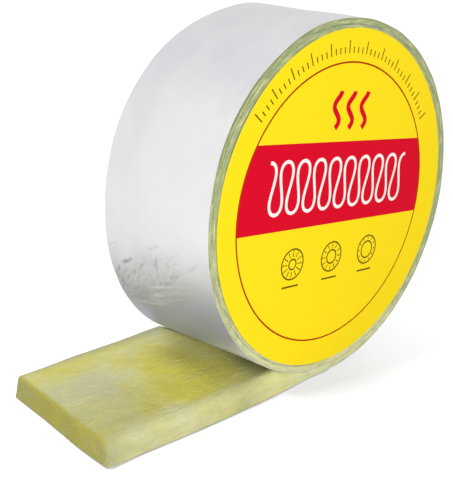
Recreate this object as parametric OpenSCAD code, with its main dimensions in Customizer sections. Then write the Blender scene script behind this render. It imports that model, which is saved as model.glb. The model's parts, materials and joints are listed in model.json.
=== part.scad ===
// Roll of foil-faced glass wool pipe wrap, standing on its round side with a short tail unrolled.
// The strip is wound foil outwards. Its outer turn runs under the roll and on into the tail,
// which lies foil down and swells back to its free thickness beside it. A paper label covers one end.

/* [Strip] */
// Width of the strip, along the roll's axis
strip_w = 76.2; // [50:0.1:150]
// Thickness of one wound turn, wool and facing together
turn_t = 3.4; // [2.6:0.1:5]
// Thickness of the foil facing
facing_t = 0.4; // [0.2:0.05:0.8]
// Thickness of the strip where it lies free
loft_t = 12.7; // [9:0.1:18]

/* [Roll] */
// Diameter of the roll across its outermost turn
roll_d = 187; // [160:1:240]
// Diameter of the hole in the middle of the roll
bore_d = 32; // [20:1:50]
// Width of the line between two turns on the ends
seam_w = 0.6; // [0.3:0.05:1]
// Depth of the line between two turns on the ends
seam_depth = 1.2; // [0.5:0.1:3]

/* [Tail] */
// Length of the tail, from under the roll's middle to its cut end
tail_len = 143; // [110:1:250]
// Rounding of the wool's top edge at the cut end
tail_edge_r = 1.5; // [0.5:0.5:6]

/* [Label] */
// Width of the bare ring of wool around the label
label_margin = 5.3; // [3:0.1:20]
// Thickness of the label's paper
label_t = 0.3; // [0.1:0.05:0.6]

/* [Hidden] */
$fn = 128;

roll_r = roll_d / 2;
bore_r = bore_d / 2;

// The winding is a four-centre spiral: each quarter turn is an arc about its own centre,
// and each centre is a quarter of a turn's thickness from the one before it.
step = turn_t / 4;
QUARTERS = [0 : 3];
function quarter_centre(k) = [k == 1 || k == 2 ? step : 0, roll_r + (k >= 2 ? step : 0)];
function quarter_r(k) = roll_r - k * step;
roll_axis = [step / 2, roll_r + step / 2];
turns = floor((roll_r - bore_r) / turn_t) - 1;

// The tail's free top edge at the cut end, rounded from the top to the cut
function tail_edge_point(angle) =
    [tail_edge_r * (1 + cos(angle)) - tail_len, loft_t - tail_edge_r * (1 - sin(angle))];

label_r = roll_r - turn_t / 2 - label_margin;

// The origin is on the floor, in the middle of the whole part's length and width
mid_x = (roll_r - tail_len) / 2;
mid_y = -label_t / 2;

// Extrudes a side view, drawn with the floor at y = 0, across the strip's width
module across_strip(width = strip_w) {
    translate([-mid_x, -mid_y, 0])
        rotate([90, 0, 0])
            linear_extrude(height = width, center = true)
                children();
}

// The quarter of the side view in which arc k of the spiral runs
module quarter_field(k) {
    translate(quarter_centre(k))
        rotate(90 * (k - 1))
            square(roll_d);
}

// A disc whose rim follows the spiral, inset from the outermost turn by a depth
module spiral_disc(inset) {
    for (k = QUARTERS)
        intersection() {
            translate(quarter_centre(k)) circle(quarter_r(k) - inset);
            quarter_field(k);
        }
}

// The lines between turns: one ring a turn in each quarter, which join into a spiral
module turn_seams() {
    for (k = QUARTERS)
        intersection() {
            translate(quarter_centre(k))
                for (n = [1 : turns])
                    difference() {
                        circle(quarter_r(k) - n * turn_t);
                        circle(quarter_r(k) - n * turn_t - seam_w);
                    }
            quarter_field(k);
        }
}

// Side view of the tail's wool: free from the rounded cut end to the roll, then pressed flat under it,
// along the arc of the turn that lies on it, to one turn's thickness under the roll's middle
module tail_side() {
    difference() {
        polygon(concat(
            [[0, facing_t], [0, loft_t]],
            [for (angle = [90 : 15 : 180]) tail_edge_point(angle)],
            [[-tail_len, facing_t]]
        ));
        translate(quarter_centre(3)) circle(quarter_r(3));
    }
}

// The strip's wool where it is wound: its turns as one body with the bore
module glass_wool() {
    color("khaki")
        difference() {
            across_strip()
                difference() {
                    spiral_disc(facing_t);
                    translate(roll_axis) circle(bore_r);
                }
            for (side = [-1, 1])
                translate([0, side * strip_w / 2, 0])
                    across_strip(2 * seam_depth) turn_seams();
        }
}

// The same strip's wool where it lies free, from under the roll's middle to the cut end
module tail_wool() {
    color("khaki")
        across_strip() tail_side();
}

// The facing that shows: the outermost turn, and the sole of the tail
module foil_facing() {
    color("gainsboro")
        across_strip() {
            difference() {
                spiral_disc(0);
                spiral_disc(facing_t);
            }
            translate([-tail_len, 0]) square([tail_len, facing_t]);
        }
}

// The round paper label that closes the bore at one end
module label() {
    color("gold")
        translate([0, -(strip_w + label_t) / 2, 0])
            across_strip(label_t)
                translate(roll_axis) circle(label_r);
}

glass_wool();
tail_wool();
foil_facing();
label();
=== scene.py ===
"""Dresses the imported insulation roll: wound wool, loose fibres, foil, round label and studio stage."""

import json
import math

import bpy
import numpy as np
from bpy.props import FloatProperty, FloatVectorProperty, IntProperty, PointerProperty
from bpy.types import Operator, Panel, PropertyGroup
from mathutils import Matrix, Vector, noise


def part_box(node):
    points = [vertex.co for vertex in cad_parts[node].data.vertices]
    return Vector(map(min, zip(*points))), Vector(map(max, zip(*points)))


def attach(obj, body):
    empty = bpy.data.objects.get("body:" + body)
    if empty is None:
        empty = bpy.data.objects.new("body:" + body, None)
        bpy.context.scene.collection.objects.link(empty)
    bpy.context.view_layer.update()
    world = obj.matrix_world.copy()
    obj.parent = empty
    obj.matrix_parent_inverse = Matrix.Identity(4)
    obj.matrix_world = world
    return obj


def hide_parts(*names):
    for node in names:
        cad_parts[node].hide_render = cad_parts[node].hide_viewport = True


bl_info = {
    "name": "Insulation Roll",
    "version": (1, 0, 0),
    "blender": (4, 5, 0),
    "location": "View3D > Sidebar > Insulation Roll",
    "description": "Builds a roll of foil-faced glass wool pipe wrap around its packed solids",
    "category": "Add Mesh",
}

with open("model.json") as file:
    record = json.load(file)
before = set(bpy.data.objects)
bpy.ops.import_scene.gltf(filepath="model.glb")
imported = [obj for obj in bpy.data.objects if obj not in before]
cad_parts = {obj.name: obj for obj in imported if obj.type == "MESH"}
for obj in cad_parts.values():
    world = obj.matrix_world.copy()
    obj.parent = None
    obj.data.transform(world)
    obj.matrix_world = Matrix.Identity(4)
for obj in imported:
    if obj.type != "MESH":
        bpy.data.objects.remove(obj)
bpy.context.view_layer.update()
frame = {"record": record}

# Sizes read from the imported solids, in metres. The winding is a four-centre spiral: each quarter turn
# is an arc about its own centre, one STEP from the centre before it.
MM = 0.001
BORE = next(m for m in frame["record"]["mounts"] if m["name"] == "bore")
AXIS_X, _, AXIS_Z = BORE["pos_m"]
BORE_R = BORE["dims"]["r_mm"] * MM
FOIL_LOW, FOIL_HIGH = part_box("foil_facing")
WOOL_LOW, WOOL_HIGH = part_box("glass_wool")
LABEL_LOW, LABEL_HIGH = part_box("label")
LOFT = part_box("tail_wool")[1].z
STEP = AXIS_Z - FOIL_HIGH.z / 2
TURN = 4 * STEP
ROLL_R = AXIS_Z - STEP / 2
FOOT_X = AXIS_X - STEP / 2
TAIL = FOOT_X - FOIL_LOW.x
FACING = WOOL_LOW.z
HALF_W = (WOOL_HIGH.y - WOOL_LOW.y) / 2
MID_Y = (WOOL_HIGH.y + WOOL_LOW.y) / 2
LABEL_R = (LABEL_HIGH.x - LABEL_LOW.x) / 2
QUARTERS = int((ROLL_R - TURN - BORE_R) / STEP)


def srgb(red, green, blue):
    """A colour given in 0 to 255 as a screen shows it, in the linear values that shaders take."""
    shares = np.array([red, green, blue]) / 255
    return tuple(np.where(shares <= 0.04045, shares / 12.92, ((shares + 0.055) / 1.055) ** 2.4))


def colour(name, description, red, green, blue):
    """A colour property with a default as a screen shows it."""
    return FloatVectorProperty(
        name=name, description=description, default=srgb(red, green, blue), subtype="COLOR", min=0, max=1
    )


def length(name, description, millimetres):
    """A length property with a default in millimetres."""
    return FloatProperty(
        name=name, description=description, default=millimetres * MM, unit="LENGTH", precision=5
    )


def angle(name, description, degrees):
    """An angle property with a default in degrees."""
    return FloatProperty(
        name=name, description=description, default=math.radians(degrees), subtype="ANGLE"
    )


def factor(name, description, default):
    """A property from 0 to 1."""
    return FloatProperty(
        name=name, description=description, default=default, min=0, max=1, subtype="FACTOR"
    )


def wattage(name, description, watts):
    """A lamp's power."""
    return FloatProperty(name=name, description=description, default=watts, min=0, subtype="POWER")


def position(name, description, *metres):
    """A place in the part's frame."""
    return FloatVectorProperty(name=name, description=description, default=metres, subtype="TRANSLATION")


class StripSettings(PropertyGroup):
    """The wound strip, wool and foil together."""

    stray: length("Stray", "How far the turns stray from their spiral", 0.3)
    rim_wave: length("Rim wave", "Height of the short waves along the roll's rims", 0.22)
    low_slack: length("Low slack", "How far the winding bags out at the foot of its bare end", 5.9)
    high_slack: length("High slack", "How far it bags out at the shoulder of its labelled end", 1.5)
    crown: length("Crown", "How far the winding stands up beside the top of its bare end", 3.2)
    top_sag: length("Top sag", "How far the winding sinks at the top of its labelled end", 1.3)
    swell: length("Swell", "How much further each of the tail's edges stands out than the roll's", 1.9)
    bow: length("Bow", "How far the tail's middle strays towards the labelled end", 0.7)
    cut_bow: length("Cut bow", "How far the tail's cut end bulges", 1.8)
    telescope: length("Telescope", "How far inner turns stand out of the bare end", 0.9)


class WoolSettings(PropertyGroup):
    """The glass wool and its loose fibres."""

    pale: colour("Pale", "Thin, dry patches of the wool", 235, 234, 181)
    yellow: colour("Yellow", "The wool's usual tone", 241, 237, 140)
    deep: colour("Deep", "Dense, resin-rich patches", 238, 229, 80)
    side: colour("Side", "The tail's long cut edges", 201, 197, 135)
    end_green: colour("End green", "The pressed edges of the wound turns", 152, 167, 116)
    end_pale: colour("End pale", "Frayed places on the edges of the wound turns", 220, 219, 165)
    # Painted shade: the cut end's darker olive stands for the shade on a face turned from the light
    cut_shade: colour("Cut olive", "The knife-cut end of the tail", 181, 175, 106)
    # Painted shade: the dark olive that the nip under the roll and the turns' ends beside their foils are
    # darkened towards
    shadow_olive: colour("Nip olive", "Wool pressed tight under the roll", 108, 106, 34)
    worn: colour("Worn", "The worn corner of the cut end", 156, 157, 128)
    shade: colour("Shade", "The depths between the fibres", 89, 85, 0)
    fluff: colour("Fluff", "Single fibres that catch the light", 237, 236, 212)
    lump: length("Lump", "Height of the soft lumps on the free wool", 0.55)
    nap: length("Nap", "Height of the small tufts on the free wool", 0.22)
    edge_dip: length("Edge dip", "How far a turn's wool draws back beside its foil", 0.7)
    near_round: length("Near rounding", "Rounding of the tail's edges on the label's side", 5.5)
    far_round: length("Far rounding", "Rounding of the tail's other long top edge", 1.2)
    cut_round: length("Cut rounding", "Rounding of the tail's cut edges", 1.9)
    flare: length("Flare", "How far the cut end's far corner stands out at its foot", 1.4)
    splay: length("Splay", "How far the tail's far edge is pushed out and up beside the roll", 1.7)
    fibres: IntProperty(name="Fibres", description="Loose fibres on the open wool", default=8000, min=0)
    fibre_length: length("Fibre length", "Longest loose fibre", 7)
    fibre_radius: length("Fibre radius", "Radius of a loose fibre", 0.035)


class FoilSettings(PropertyGroup):
    """The foil facing."""

    # Silver and grey are the ends of the foil's random cloudiness and of its painted highlight and shade by
    # the angle round the roll
    silver: colour("Silver", "The foil's cleanest surface", 237, 237, 238)
    grey: colour("Grey", "The foil's usual surface", 222, 223, 227)
    # Painted shade: greys for the foil's lower side, where it turns from the light above the tail; the dim
    # one is bluer, against the yellow light from the wool
    dull: colour("Dull", "Foil dulled by handling", 158, 160, 168)
    dim: colour("Dim", "Dulled foil that faces the tail", 156, 160, 194)
    # Painted light: a bright, cool tint on the foil close to the tail, which lifts the shade there and the
    # yellow light from the wool
    cool: colour("Cool", "Bright foil close to the tail", 238, 243, 255)
    # This is the dark side of a real scuff, and also the painted shade on the foil's edges in the grooves
    soiled: colour("Soiled", "The dark side of a scuff", 132, 129, 124)
    bared: colour("Bared", "The pale side of a scuff, worn to the paper", 229, 227, 222)
    metallic: factor("Metallic", "How metallic the foil is", 0.2)
    wave: length("Wave", "Height of the foil's broad waves", 0.4)
    lip: length("Lip", "How far the tail's sole stands out past the wool", 0.6)
    curl: length("Curl", "How much further out the sole's near corner stands", 1.2)
    corner: length("Corner", "Rounding of the sole's near corner", 1.4)
    curl_reach: length("Curl reach", "How far along the tail that corner reaches", 14)
    crease_height: length("Crease height", "Height of the tallest crease", 0.3)


class LabelSettings(PropertyGroup):
    """The round paper label and its plain print."""

    yellow: colour("Yellow", "The label's ground", 254, 224, 28)
    red: colour("Red", "The printed band", 216, 6, 38)
    line: colour("Line", "The thin printed ring", 168, 52, 4)
    ink: colour("Ink", "The small dark marks", 96, 78, 6)
    white: colour("White", "The loops on the band", 246, 242, 236)
    backing: colour("Backing", "The label's gummed back, which shows in the bore", 226, 220, 204)
    ring_radius: length("Ring radius", "Radius of the thin ring", 71.3)
    ring_shift: length("Ring shift", "How far the print sits left of the label's middle", 3.4)
    ring_drop: length("Ring drop", "How far the print sits below the label's middle", 0.7)
    line_width: length("Line width", "Width of the thin ring", 0.85)
    band_top: length("Band top", "Top of the band above the label's middle", 33)
    band_low: length("Band low", "Bottom of the band below the label's middle", 8.5)
    turn: angle("Turn", "How far the print is turned clockwise", 3.6)
    cockle: length("Cockle", "Depth of the paper's slight waves", 0.12)
    ink_height: length("Ink height", "Thickness of the printed ink", 0.02)


class StageSettings(PropertyGroup):
    """The floor, the light and the camera."""

    floor: factor("Floor", "Reflectance of the floor", 0.09)
    shown: FloatVectorProperty(
        name="Shown",
        description="Reflectance that the camera sees, under the floor's own whiteness",
        default=(0.118, 0.12, 0.126),
        subtype="COLOR",
    )
    # Painted shadow: the floor is less white at the roll's foot, which deepens the lamp's shadow there
    glow: factor("Glow", "Whiteness of the floor at the roll's foot", 0.7)
    near_glow: factor("Near glow", "Whiteness of the floor round the roll", 0.84)
    sky: factor("Sky", "Strength of the even light from all round", 0.5)
    key: wattage("Key", "Power of the large lamp", 15)
    key_place: position("Key place", "Where the large lamp stands", -0.72, -1.033, 0.377)
    key_size: length("Key size", "Side of the large lamp", 700)
    rear: wattage("Rear", "Power of the floor's own lamp", 104)
    rear_place: position("Rear place", "Where the floor's lamp stands", -1.35, 0.26, 1.42)
    rear_size: length("Rear size", "Side of the floor's lamp", 230)
    fill: wattage("Fill", "Power of the lamp behind the roll", 10)
    fill_place: position("Fill place", "Where the lamp behind the roll stands", 0.45, 1.3, 0.15)
    fill_size: length("Fill size", "Side of the lamp behind the roll", 900)
    camera_place: position(
        "Camera place",
        "Where the camera stands, from the floor under the roll's middle",
        -0.30992, -0.27515, 0.19470,
    )
    azimuth: angle("Azimuth", "Camera's angle round the roll", -44.15)
    elevation: angle("Elevation", "Camera's angle above level", 17.81)
    lean: angle("Lean", "Camera's turn about its own view", 2.77)
    lens: FloatProperty(name="Lens", description="Focal length in millimetres", default=58.4, min=1)


# Shapes and noise shared by the pieces


def ripple(points, size, seed):
    """Smooth noise from -1 to 1 at each point, in lumps of about the given size."""
    shift = Vector((17.3 * seed, 5.1 * seed, 9.7 * seed))
    return np.array([noise.noise(Vector(p) / size + shift) for p in points])


def ramp(value, start, end):
    """0 up to a start and 1 from an end on, softly between; it falls where the end comes first."""
    way = np.clip((value - start) / (end - start), 0, 1)
    return way * way * (3 - 2 * way)


def bell(distance):
    """1 at no distance, falling softly to about a third at a distance of 1."""
    return np.exp(-(distance**2))


def swelling(degrees, middle, before, after):
    """1 at a middle angle, falling softly to 0 at so far before and after it."""
    off = (degrees - middle + 180) % 360 - 180
    return np.cos(np.clip(off / np.where(off < 0, before, after), -1, 1) * math.pi / 2) ** 2


def round_axis(points):
    """Each point's distance from the roll's axis, and its angle round it in degrees."""
    side = points[:, [0, 2]] - [AXIS_X, AXIS_Z]
    return np.linalg.norm(side, axis=1), np.degrees(np.arctan2(side[:, 1], side[:, 0]))


def across_strip(points):
    """Each point's share across the strip, from -1 at the labelled end to 1 at the bare end."""
    return (points[:, 1] - MID_Y) / HALF_W


def quarter(q):
    """Centre, radius and start angle of the spiral's quarter turn q, counted inwards from under the roll."""
    k = q % 4
    centre = np.array([FOOT_X + (STEP if k in (1, 2) else 0), ROLL_R + (STEP if k >= 2 else 0)])
    return centre, ROLL_R - q * STEP, math.radians(90 * (k - 1))


def even_shares(q, spacing, start=0.0, end=1.0):
    """Even shares of quarter turn q after a start, at most a spacing apart."""
    steps = math.ceil((end - start) * quarter(q)[1] * math.pi / 2 / spacing)
    return np.linspace(start, end, steps + 1)[1:]


def inner_spacing(q):
    """Distance between stations on an inner quarter turn: less as the turns tighten."""
    return min(4 * MM, 0.075 * quarter(q)[1])


class Path:
    """Stations along the outer face of the strip in the side view, from the tail's cut end inwards."""

    def __init__(self, tail, shares):
        """tail is the tail's stations, from the cut end; shares(q) is the stations on quarter turn q."""
        x = FOOT_X - TAIL + np.asarray(tail)
        places, inward = [np.stack([x, 0 * x], 1)], [np.tile([0.0, 1.0], (len(x), 1))]
        quarters = [np.full(len(x), -1)]
        for q in range(QUARTERS):
            centre, radius, start = quarter(q)
            angles = start + shares(q) * math.pi / 2
            out = np.stack([np.cos(angles), np.sin(angles)], 1)
            places.append(centre + radius * out)
            inward.append(-out)
            quarters.append(np.full(len(angles), q))
        self.xz = np.concatenate(places)
        self.inward = np.concatenate(inward)
        self.quarter = np.concatenate(quarters)
        self.in_tail = self.quarter < 0
        self.outermost = (self.quarter >= 0) & (self.quarter < 4)
        gaps = np.linalg.norm(np.diff(self.xz, axis=0), axis=1)
        self.along = np.concatenate([[0], np.cumsum(gaps)])

    def at(self, depth, y, rows=slice(None)):
        """Points at depths under the outer face and places across: arrays of stations by points."""
        flat = self.xz[rows, None] + self.inward[rows, None] * depth[..., None]
        return np.stack([flat[..., 0], y, flat[..., 1]], -1)


# Where the winding is slack, in degrees round the roll: the middle, and the reach before and after it
FOOT_BAG = (-130, 62, 33)
SHOULDER_BAG = (150, 28, 24)
TOP_CROWN = (78, 40, 33)
TOP_DIP = (84, 60, 30)


def slack(points, strip):
    """How far the winding stands out from its spiral at each point."""
    distance, degrees = round_axis(points)
    across = np.clip(across_strip(points), -1, 1)
    bare = strip.low_slack * swelling(degrees, *FOOT_BAG) + strip.crown * swelling(degrees, *TOP_CROWN)
    labelled = strip.high_slack * swelling(degrees, *SHOULDER_BAG)
    labelled -= strip.top_sag * swelling(degrees, *TOP_DIP)
    off_floor = ramp(points[:, 2], 6 * MM, 36 * MM)
    uneven = strip.stray * (ripple(points, 45 * MM, 3) + 0.5 * ripple(points, 20 * MM, 4))
    rim = strip.rim_wave * across**4 * ripple(points, 12 * MM, 5)
    total = (1 + across) / 2 * bare + (1 - across) / 2 * labelled + off_floor * (uneven + rim)
    return total * np.clip(distance / ROLL_R, 0, 1.1) ** 2


def settle(points, strip):
    """Moves points of the winding out from the roll's axis by its slack."""
    side = points[:, [0, 2]] - [AXIS_X, AXIS_Z]
    out = np.maximum(np.linalg.norm(side, axis=1, keepdims=True), 1e-6)
    moved = points.copy()
    moved[:, [0, 2]] += side / out * slack(points, strip)[:, None]
    return moved


def roll_underside(x, y, strip):
    """Height of the turn that lies on the tail, at places along and across the tail."""
    centre, radius, _ = quarter(3)
    along = np.clip(centre[0] - x, 0, 0.85 * radius)
    z = centre[1] - np.sqrt(radius**2 - along**2)
    for _ in range(3):
        points = np.stack([x, y, z], -1).reshape(-1, 3)
        loose = radius + slack(points, strip).reshape(x.shape)
        z = centre[1] - np.sqrt(loose**2 - along**2)
    return z


def half_widths(path, strip):
    """Half the strip's width, and how far its middle stands to the side, at each station."""
    from_foot = TAIL - path.along
    free = ramp(from_foot, 0, 62 * MM) * (1 - 0.65 * ramp(from_foot, 90 * MM, 145 * MM)) * path.in_tail
    line = np.stack([path.along, 0 * path.along, 0 * path.along], 1)
    telescope = strip.telescope * ramp(path.quarter, 3, 9) * (0.5 + 0.5 * ripple(line, 350 * MM, 12))
    wander = 0.3 * MM * ripple(line, 30 * MM, 11) * ramp(from_foot, 0, 30 * MM)
    return HALF_W + strip.swell * free, telescope + (wander - strip.bow * free) * path.in_tail


def cut_bulge(along, a, strip):
    """How far the tail stands out past its flat cut end, at shares across from -1 to 1."""
    return strip.cut_bow * (0.45 + 0.55 * bell((a + 0.5) / 0.5)) * ramp(along, 12 * MM, 0)


def loop_shares(across, heights):
    """Shares across (-1 to 1) and up (0 to 1) of a section's loop.

    The loop runs along the outer face, up the far edge, back along the inner face and down the near edge.
    """
    row = np.linspace(-1, 1, across + 1)
    edge = np.asarray(heights)[1:-1]
    a = np.concatenate([row, np.ones(len(edge)), row[::-1], -np.ones(len(edge))])
    h = np.concatenate([0 * row, edge, 0 * row + 1, edge[::-1]])
    return a, h


def bridge(first, second):
    """Triangles between two rows of vertex numbers that may differ in count."""
    faces, i, j = [], 0, 0
    last_i, last_j = len(first) - 1, len(second) - 1
    while i < last_i or j < last_j:
        if j == last_j or (i < last_i and (i + 1) / last_i <= (j + 1) / last_j):
            faces.append((first[i], first[i + 1], second[j]))
            i += 1
        else:
            faces.append((first[i], second[j + 1], second[j]))
            j += 1
    return faces


def rows_of(loop, across, up):
    """A loop's four sides, in its own order, as rows of vertex numbers that share corners."""
    ring = np.append(loop, loop[0])
    cuts = [0, across, across + up, 2 * across + up, 2 * (across + up)]
    return [ring[a : b + 1] for a, b in zip(cuts, cuts[1:])]


class Sweep:
    """A closed mesh made of section loops along the strip, with grids over its two ends."""

    def __init__(self, heights):
        self.heights = np.asarray(heights)
        self.points, self.station, self.rise, self.faces = [], [], [], []
        self.last, self.stations, self.count = None, 0, 0

    def add(self, points, station, rise):
        """Adds points of a station with their shares up, and returns their numbers."""
        numbers = np.arange(self.count, self.count + len(points))
        self.points.append(points)
        self.station.append(np.full(len(points), station))
        self.rise.append(np.asarray(rise))
        self.count += len(points)
        return numbers

    def extend(self, loops, across):
        """Adds stations: an array of stations by loop points by 3."""
        up = len(self.heights) - 1
        _, rise = loop_shares(across, self.heights)
        for loop in loops:
            numbers = self.add(loop, self.stations, rise)
            self.stations += 1
            if self.last is not None:
                before, before_across = self.last
                if before_across == across:
                    a, b = np.append(before, before[0]), np.append(numbers, numbers[0])
                    self.faces += np.stack([a[:-1], a[1:], b[1:], b[:-1]], 1).tolist()
                else:
                    pairs = zip(rows_of(before, before_across, up), rows_of(numbers, across, up))
                    for old, new in pairs:
                        self.faces += bridge(old, new)
            self.last = (numbers, across)

    def cap(self, loop, across, at_end):
        """Fills the first loop, or the one at the end, with a grid."""
        up = len(self.heights) - 1
        outer, far, inner, near = rows_of(loop, across, up)
        points = np.concatenate(self.points)
        grid = np.zeros((across + 1, up + 1), int)
        grid[:, 0], grid[:, up] = outer, inner[::-1]
        grid[across, :], grid[0, :] = far, near[::-1]
        station = self.stations - 1 if at_end else 0
        between = self.heights[1:-1]
        for j in range(1, across):
            low, high = points[grid[j, 0]], points[grid[j, up]]
            grid[j, 1:up] = self.add(low + (high - low) * between[:, None], station, between)
        quads = np.stack([grid[:-1, :-1], grid[:-1, 1:], grid[1:, 1:], grid[1:, :-1]], -1).reshape(-1, 4)
        self.faces += (quads[:, ::-1] if at_end else quads).tolist()

    def result(self):
        """All points, with each one's station and share up."""
        return np.concatenate(self.points), np.concatenate(self.station), np.concatenate(self.rise)


def new_mesh(name, points, faces, material, smooth=True):
    """A mesh object in the part's frame, its faces turned outwards."""
    mesh = bpy.data.meshes.new(name)
    mesh.from_pydata(np.asarray(points).tolist(), [], faces)
    mesh.update()
    obj = bpy.data.objects.new(name, mesh)
    bpy.context.scene.collection.objects.link(obj)
    mesh.materials.append(material)
    if smooth:
        mesh.shade_smooth()
    corners = triangles(mesh)
    a, b, c = np.asarray(points)[corners].transpose(1, 0, 2)
    if np.einsum("ij,ij->i", a, np.cross(b, c)).sum() < 0:
        mesh.flip_normals()
    return obj


def triangles(mesh):
    """A mesh's triangles as rows of point numbers."""
    mesh.calc_loop_triangles()
    corners = np.zeros(len(mesh.loop_triangles) * 3, np.int32)
    mesh.loop_triangles.foreach_get("vertices", corners)
    return corners.reshape(-1, 3)


def paint(obj, **layers):
    """Stores numbers for each vertex under their names, for a material to read."""
    for name, values in layers.items():
        layer = obj.data.attributes.new(name, "FLOAT", "POINT")
        layer.data.foreach_set("value", np.asarray(values, np.float32))


def wear(obj, slot, *nodes):
    """Puts a finished piece on the part's one body in place of CAD nodes; the slot is not used."""
    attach(obj, "root")
    if nodes:
        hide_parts(*nodes)


# Materials


class Shader:
    """A node material with a Principled shader, and short ways to add to it."""

    def __init__(self, name, **settings):
        self.material = bpy.data.materials.new(name)
        self.material.use_nodes = True
        self.tree = self.material.node_tree
        self.surface = self.tree.nodes["Principled BSDF"]
        for socket, value in settings.items():
            self.surface.inputs[socket.replace("_", " ")].default_value = value
        self.place = self.add("ShaderNodeTexCoord").outputs["Object"]

    def add(self, kind, inputs=None, **settings):
        node = self.tree.nodes.new(kind)
        for key, value in settings.items():
            setattr(node, key, value)
        for key, value in (inputs or {}).items():
            if isinstance(value, bpy.types.NodeSocket):
                self.tree.links.new(value, node.inputs[key])
            else:
                node.inputs[key].default_value = value
        return node

    def link(self, source, socket):
        self.tree.links.new(source, self.surface.inputs[socket])

    def stretched(self, x, y, z):
        """The place, scaled along each axis."""
        return self.add("ShaderNodeMapping", {"Vector": self.place, "Scale": (x, y, z)}).outputs["Vector"]

    def noise(self, size, detail=2.0, roughness=0.5, place=None, distortion=0.0):
        """Noise in lumps of about a size in metres."""
        inputs = {
            "Vector": place or self.place,
            "Scale": 1 / size,
            "Detail": detail,
            "Roughness": roughness,
            "Distortion": distortion,
        }
        return self.add("ShaderNodeTexNoise", inputs).outputs["Fac"]

    def painted(self, name):
        return self.add("ShaderNodeAttribute", attribute_name=name).outputs["Fac"]

    def math(self, operation, a, b=0.0, c=0.0):
        node = self.add("ShaderNodeMath", {0: a, 1: b, 2: c}, operation=operation)
        return node.outputs["Value"]

    def times(self, a, b):
        return self.math("MULTIPLY", a, b)

    def flat(self, x, y):
        """A place made of two numbers."""
        return self.add("ShaderNodeCombineXYZ", {0: x, 1: y}).outputs[0]

    def spread(self, value, low, high, to_low=0.0, to_high=1.0):
        """A value's range stretched to another, with its ends held."""
        inputs = {"Value": value, "From Min": low, "From Max": high, "To Min": to_low, "To Max": to_high}
        return self.add("ShaderNodeMapRange", inputs).outputs["Result"]

    def mix(self, share, first, second):
        node = self.add("ShaderNodeMix", data_type="RGBA")
        for socket, value in ((node.inputs[0], share), (node.inputs[6], first), (node.inputs[7], second)):
            if isinstance(value, bpy.types.NodeSocket):
                self.tree.links.new(value, socket)
            elif isinstance(value, (int, float)):
                socket.default_value = value
            else:
                socket.default_value = (*value, 1.0)
        return node.outputs[2]

    def bump(self, height, distance, strength=1.0, over=None):
        inputs = {"Height": height, "Distance": distance, "Strength": strength}
        if over is not None:
            inputs["Normal"] = over
        return self.add("ShaderNodeBump", inputs).outputs["Normal"]


def darker(tint, share):
    """A colour at a share of its brightness."""
    return tuple(share * c for c in tint)


def wool_material(wool):
    """Matted glass fibre: patches of resin, frayed ends, streaks and a fine nap, with painted shade in the
    nip, beside the turns' foils, on the cut end and over the tail's top.
    """
    s = Shader("glass_wool", Roughness=0.95, Sheen_Weight=0.15, Sheen_Roughness=0.6, Specular_IOR_Level=0.15)
    blotch = s.spread(s.noise(26 * MM, 4, 0.55, distortion=0.5), 0.3, 0.7, 0.32, 0.68)
    blotch = s.math("MULTIPLY_ADD", s.painted("bloom"), 0.26, blotch)
    tone = s.mix(s.spread(blotch, 0.28, 0.5), wool.deep, wool.yellow)
    tone = s.mix(s.spread(blotch, 0.5, 0.72), tone, wool.pale)

    # The edges of the turns have threads that run along the strip
    threads = s.flat(s.times(s.painted("run"), 0.16), s.painted("layer"))
    frayed = s.noise(1.3 * MM, 4, 0.55, threads, 0.4)
    frayed = s.math("MULTIPLY_ADD", s.painted("faded"), 0.3, frayed)
    ends = s.mix(s.spread(frayed, 0.44, 0.76), wool.end_green, wool.end_pale)
    # Painted shade on the turns' ends beside their foils
    ends = s.mix(s.times(s.painted("rim"), 0.9), ends, wool.shadow_olive)
    side = s.mix(s.spread(blotch, 0.4, 0.7), wool.side, darker(wool.pale, 0.71))
    # Painted shade on the cut end: a darker olive and a darker copy of the deep tone
    cut = s.mix(s.spread(blotch, 0.35, 0.65), wool.cut_shade, darker(wool.deep, 0.58))
    for layer, strength, tint in (
        ("side_face", 0.9, side),
        ("end_face", 1, ends),
        ("cut_face", 1, cut),
        ("worn", 0.6, wool.worn),
        # Painted shadow of the roll on the tail's top, in the nip
        ("pressed", 1, wool.shadow_olive),
    ):
        tone = s.mix(s.times(s.painted(layer), strength), tone, tint)

    streak = s.noise(3.5 * MM, 4, 0.65, s.stretched(0.3, 1, 1), 1.5)
    nap = s.noise(1.1 * MM, 3, 0.6)
    # The streaks and the tail's painted shade both darken the wool towards the shade colour
    dusk = s.math("ADD", s.spread(streak, 0.25, 0.75, 0.14, 0), s.painted("dusk"))
    tone = s.mix(dusk, tone, wool.shade)
    tone = s.mix(s.spread(nap, 0.6, 0.85, 0, 0.3), tone, wool.fluff)
    s.link(tone, "Base Color")
    height = s.math("ADD", s.times(streak, 0.7), s.times(nap, 0.3))
    s.link(s.bump(height, 1.2 * MM, 0.7), "Normal")
    return s.material


def fibre_material(wool):
    """Single glass fibres, paler than the mat they stand from."""
    s = Shader("glass_fibre", Roughness=0.5, Specular_IOR_Level=0.4)
    s.link(s.mix(s.noise(12 * MM), wool.yellow, wool.pale), "Base Color")
    return s.material


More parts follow.
